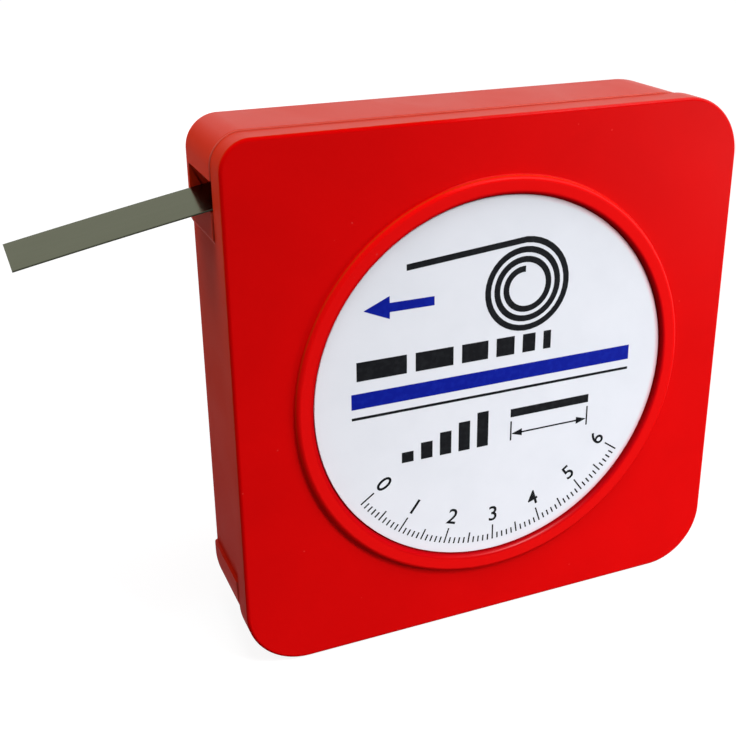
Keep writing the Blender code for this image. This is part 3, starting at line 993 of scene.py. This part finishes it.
def plastic_material():
    """Red moulded plastic: satin front, smoother top, duller left side, edges rubbed smooth."""
    made, tree, shader = new_material("red_plastic")
    place = place_source(tree)
    shares = plastic_shares(tree, place)
    tree.links.new(plastic_colour(tree, place, shares), shader.inputs["Base Color"])

    marks = noise(tree, place_source(tree, (1.0, 0.55, 1.0)), 95.0, 3.0, 0.6)
    roughness = ranged(tree, marks, 0.39, 0.47, 0.2, 0.8)
    for name, change in (("top", -0.1), ("left", 0.2), ("rubbed", -0.16)):
        roughness = worked(tree, "ADD", roughness, product(tree, shares[name], change))
    tree.links.new(roughness, shader.inputs["Roughness"])

    level = product(tree, shares["flat_front"], FRONT_SHINE)
    level = worked(tree, "ADD", level, product(tree, shares["flanks"], shares["off_ring"], SIDE_SHINE))
    level = worked(tree, "ADD", level, product(tree, shares["rubbed"], RUBBED_SHINE))
    shader.inputs["Specular IOR Level"].default_value = SIDE_SHINE
    tree.links.new(level, shader.inputs["Specular IOR Level"])
    bumped(tree, shader, noise(tree, place, 1900.0, 2.0), 0.12, 0.00003)
    return made


# White film of the label
FILM_GREY = (0.67, 0.692, 0.75)
FILM_WHITE = (0.79, 0.807, 0.866)
# Painted red cast of light bounced from the ring's wall onto the film
FILM_PAINTED_BOUNCE = (0.78, 0.25, 0.28)
# Painted light: the film is made paler toward its lower left
PAINTED_LIGHT_ACROSS = -13.3
PAINTED_LIGHT_UP = -5.6


def film_material():
    """White printed film: smooth, with a fine tooth, and with painted light that makes it paler toward
    its lower left.

    Beside the ring's dark wall on the right its rim has a painted red cast of light bounced from the
    wall.
    """
    made, tree, shader = new_material("label_film")
    place = place_source(tree)
    across, _, height = parted(tree, place)
    # Painted light that grows toward the film's lower left
    paler = worked(tree, "ADD", product(tree, across, PAINTED_LIGHT_ACROSS), product(tree, height, PAINTED_LIGHT_UP))
    cloud = ranged(tree, noise(tree, place, 140.0, 4.0), -0.12, 0.12)
    at_middle = 0.5 - PAINTED_LIGHT_UP * MID_HEIGHT * MM
    tone = worked(tree, "ADD", worked(tree, "ADD", paler, cloud), at_middle)
    colour = blended(tree, rising(tree, tone, 0.0, 1.0), FILM_GREY, FILM_WHITE)
    # Painted red bounce light on the film's rim, on the right
    rim = ranged(tree, from_axis(tree), 0.0, 0.7, (LABEL_RADIUS - 0.9) * MM, LABEL_RADIUS * MM)
    rim = product(tree, rim, rising(tree, across, 0.0, 0.02))
    colour = blended(tree, rim, colour, FILM_PAINTED_BOUNCE)
    tree.links.new(colour, shader.inputs["Base Color"])
    tooth = noise(tree, place, 3200.0, 2.0)
    tree.links.new(ranged(tree, tooth, 0.42, 0.54), shader.inputs["Roughness"])
    shader.inputs["Specular IOR Level"].default_value = 0.2
    bumped(tree, shader, tooth, 0.08, 0.00002)
    return made


# Inks, each where it lies thin and where it covers fully
BLACK_INK = ((0.009, 0.01, 0.012), (0.004, 0.0045, 0.006))
BLUE_INK = ((0.004, 0.014, 0.3), (0.002, 0.009, 0.26))


def ink_material(name, thin, full):
    """Printing ink: a little uneven where it lies thin, with a fine tooth."""
    made, tree, shader = new_material(name)
    place = place_source(tree)
    cover = rising(tree, noise(tree, place, 900.0, 5.0), 0.32, 0.55)
    tree.links.new(blended(tree, cover, thin, full), shader.inputs["Base Color"])
    tooth = noise(tree, place, 3200.0, 2.0)
    tree.links.new(ranged(tree, tooth, 0.4, 0.55), shader.inputs["Roughness"])
    shader.inputs["Specular IOR Level"].default_value = 0.06
    bumped(tree, shader, tooth, 0.06, 0.00001)
    return made


# Steel of the strip
STEEL_DARK = (0.132, 0.142, 0.101)
STEEL_LIGHT = (0.152, 0.16, 0.117)
# Darker edge: partly the cut steel's own colour, partly painted shade in place of the lamp's glint
STEEL_EDGE_AND_SHADE = (0.04, 0.043, 0.03)
STEEL_TINT = (0.6, 0.6, 0.56)


def steel_material():
    """Cold-rolled strip: smooth and grey-green, with fine lines along it, and darker edges that are
    partly the cut steel's own and partly painted shade.
    """
    made, tree, shader = new_material("strip_steel")
    laid = tree.nodes.new("ShaderNodeUVMap")
    laid.uv_map = "strip"
    lines = noise(tree, stretched(tree, laid.outputs[0], (14.0, 60.0, 1.0)), 1.0, 6.0)
    patches = noise(tree, stretched(tree, laid.outputs[0], (90.0, 1.4, 1.0)), 1.0, 3.0)
    tone = worked(tree, "ADD", ranged(tree, lines, 0.0, 0.6), ranged(tree, patches, 0.0, 0.4))
    colour = blended(tree, tone, STEEL_DARK, STEEL_LIGHT)
    across = parted(tree, laid.outputs[0])[1]
    from_middle = worked(tree, "ABSOLUTE", worked(tree, "SUBTRACT", across, 0.5), 0.0)
    edge = rising(tree, from_middle, 0.49, 0.497)
    # Edges darkened, partly the cut steel's own colour and partly painted shade
    colour = blended(tree, edge, colour, STEEL_EDGE_AND_SHADE)
    tree.links.new(colour, shader.inputs["Base Color"])
    shader.inputs["Metallic"].default_value = 1.0
    shader.inputs["Specular Tint"].default_value = (*STEEL_TINT, 1.0)
    roughness = worked(tree, "ADD", ranged(tree, lines, 0.13, 0.2), product(tree, edge, 0.45))
    tree.links.new(roughness, shader.inputs["Roughness"])
    bumped(tree, shader, lines, 0.05, 0.00002)
    return made


# Stage
FLOOR_HALF = 3.0
FLOOR_COLOUR = 0.2
FLOOR_GLOW = 0.88
WORLD_LEVEL = 0.24


def seen_directly(tree):
    """1 for camera, glossy and transmission rays, 0 for the rays that carry light."""
    path = tree.nodes.new("ShaderNodeLightPath").outputs
    seen = worked(tree, "MAXIMUM", path["Is Camera Ray"], path["Is Glossy Ray"])
    return worked(tree, "MAXIMUM", seen, path["Is Transmission Ray"])


def floor_material():
    """Paper that takes the light and the shadow, with a white glow only where it is seen."""
    made = bpy.data.materials.new("floor_paper")
    made.use_nodes = True
    tree = made.node_tree
    tree.nodes.clear()
    diffuse = tree.nodes.new("ShaderNodeBsdfDiffuse")
    diffuse.inputs["Color"].default_value = (FLOOR_COLOUR, FLOOR_COLOUR, FLOOR_COLOUR, 1.0)
    glow = tree.nodes.new("ShaderNodeEmission")
    tree.links.new(product(tree, seen_directly(tree), FLOOR_GLOW), glow.inputs["Strength"])
    both = tree.nodes.new("ShaderNodeAddShader")
    out = tree.nodes.new("ShaderNodeOutputMaterial")
    tree.links.new(diffuse.outputs[0], both.inputs[0])
    tree.links.new(glow.outputs[0], both.inputs[1])
    tree.links.new(both.outputs[0], out.inputs["Surface"])
    return made


def build_floor():
    """Pale floor that is white where the camera sees it lit, and keeps the object's shadow."""
    built = bmesh.new()
    corners = [(-1, -1), (1, -1), (1, 1), (-1, 1)]
    built.faces.new([built.verts.new((x * FLOOR_HALF, y * FLOOR_HALF, 0.0)) for x, y in corners])
    mesh = bpy.data.meshes.new("floor")
    built.to_mesh(mesh)
    built.free()
    floor = bpy.data.objects.new("floor", mesh)
    bpy.context.scene.collection.objects.link(floor)
    mesh.materials.append(floor_material())


def build_world():
    """White where it is seen or reflected, and a plain grey level where it lights."""
    world = bpy.data.worlds.new("studio")
    bpy.context.scene.world = world
    world.use_nodes = True
    tree = world.node_tree
    background = tree.nodes["Background"]
    background.inputs["Color"].default_value = (1.0, 1.0, 1.0, 1.0)
    level = tree.nodes.new("ShaderNodeMapRange")
    level.inputs["To Min"].default_value = WORLD_LEVEL
    level.inputs["To Max"].default_value = 1.0
    tree.links.new(seen_directly(tree), level.inputs["Value"])
    tree.links.new(level.outputs[0], background.inputs["Strength"])


# Soft light from high above: the direction it comes from, its spread in degrees and its strength
SKY_FROM = (0.02, -0.28, 0.93)
SKY_SPREAD = 24.0
SKY_STRENGTH = 1.45

# Panels near the case: name, place, target, side, watts
PANELS = (
    ("key_panel", (0.18, -0.33, 0.34), (0.0, 0.0, 0.05), 0.16, 0.85),
    ("right_panel", (0.21, -0.16, 0.05), (0.0, 0.0, 0.0), 0.08, 0.27),
    ("left_panel", (-0.13, 0.0, 0.125), (-0.047, 0.0, 0.08), 0.06, 0.032),
    ("back_panel", (0.0, 0.6, 0.04), (0.0, 0.0, 0.04), 0.07, 1.1),
)

# Spot that lifts the lower part of the front and the floor before it
SPOT_FROM = (0.16, -0.36, 0.5)
SPOT_AT = (0.03, -0.058, 0.0)
SPOT_CONE = 25.0
SPOT_SOFTNESS = 0.05
SPOT_WATTS = 8.0


def place_lamp(light, place, target):
    lamp = bpy.data.objects.new(light.name, light)
    bpy.context.scene.collection.objects.link(lamp)
    lamp.location = place
    lamp.rotation_euler = (target - place).to_track_quat("-Z", "Y").to_euler()
    lamp.visible_camera = False


def build_lamps():
    sky = bpy.data.lights.new("soft_sky", "SUN")
    sky.angle = math.radians(SKY_SPREAD)
    sky.energy = SKY_STRENGTH
    place_lamp(sky, Vector(SKY_FROM), Vector((0.0, 0.0, 0.0)))
    for name, place, target, side, watts in PANELS:
        panel = bpy.data.lights.new(name, "AREA")
        panel.shape = "SQUARE"
        panel.size = side
        panel.energy = watts
        place_lamp(panel, Vector(place), Vector(target))
    spot = bpy.data.lights.new("base_spot", "SPOT")
    spot.spot_size = math.radians(SPOT_CONE)
    spot.spot_blend = 1.0
    spot.shadow_soft_size = SPOT_SOFTNESS
    spot.energy = SPOT_WATTS
    place_lamp(spot, Vector(SPOT_FROM), Vector(SPOT_AT))


def build_camera():
    data = bpy.data.cameras.new("camera")
    data.lens = CAMERA_LENS
    data.shift_x, data.shift_y = CAMERA_SHIFT
    data.clip_start = 0.01
    camera = bpy.data.objects.new("camera", data)
    bpy.context.scene.collection.objects.link(camera)
    tilt = math.radians(RIGHT_ANGLE - CAMERA_ELEVATION)
    turn = Euler((tilt, 0.0, math.radians(CAMERA_AZIMUTH))).to_matrix()
    roll = Matrix.Rotation(math.radians(CAMERA_ROLL), 3, "Z")
    camera.rotation_euler = (turn @ roll).to_euler()
    camera.location = CAMERA_PLACE
    bpy.context.scene.camera = camera


def main():
    red = plastic_material()
    dress(shell_moulding(), red, "back_shell")
    dress(cover_moulding(), red, "front_cover")
    dress(label_film(), film_material(), "label")
    black = label_print("print_black", black_ribbons(), figures=True)
    dress(black, ink_material("black_ink", *BLACK_INK))
    blue = label_print("print_blue", blue_ribbons())
    dress(blue, ink_material("blue_ink", *BLUE_INK))
    dress(strip_roll(), steel_material(), "steel_strip")
    build_floor()
    build_world()
    build_lamps()
    build_camera()
    bpy.context.scene.view_settings.view_transform = "Standard"


main()
